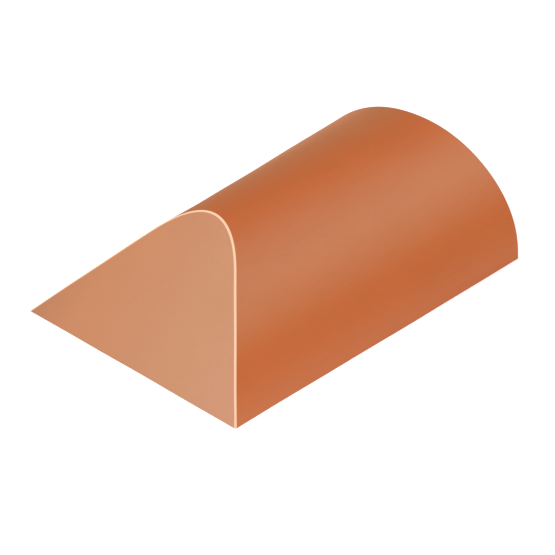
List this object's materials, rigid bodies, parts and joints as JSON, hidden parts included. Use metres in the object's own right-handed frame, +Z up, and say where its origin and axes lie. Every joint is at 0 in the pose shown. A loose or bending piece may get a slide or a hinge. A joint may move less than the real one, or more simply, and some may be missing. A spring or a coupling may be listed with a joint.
{
  "type": "half round ridge tile",
  "caption": "Half round fired clay ridge tile, hollow below, open at one end and closed at the other by a flat face that leans back.",
  "frame": {"origin": "middle of the footprint, on the level the two feet and the toe lie on", "axes": "+Y along the ridge from the closed end to the open end, +Z up, +X to the right seen from the closed end"},
  "size_m": [0.25, 0.362, 0.1032],
  "materials": {
    "fired_clay": "matt"
  },
  "bodies": {
    "root": {"ridge_tile": "fired_clay"}
  },
  "joints": []
}
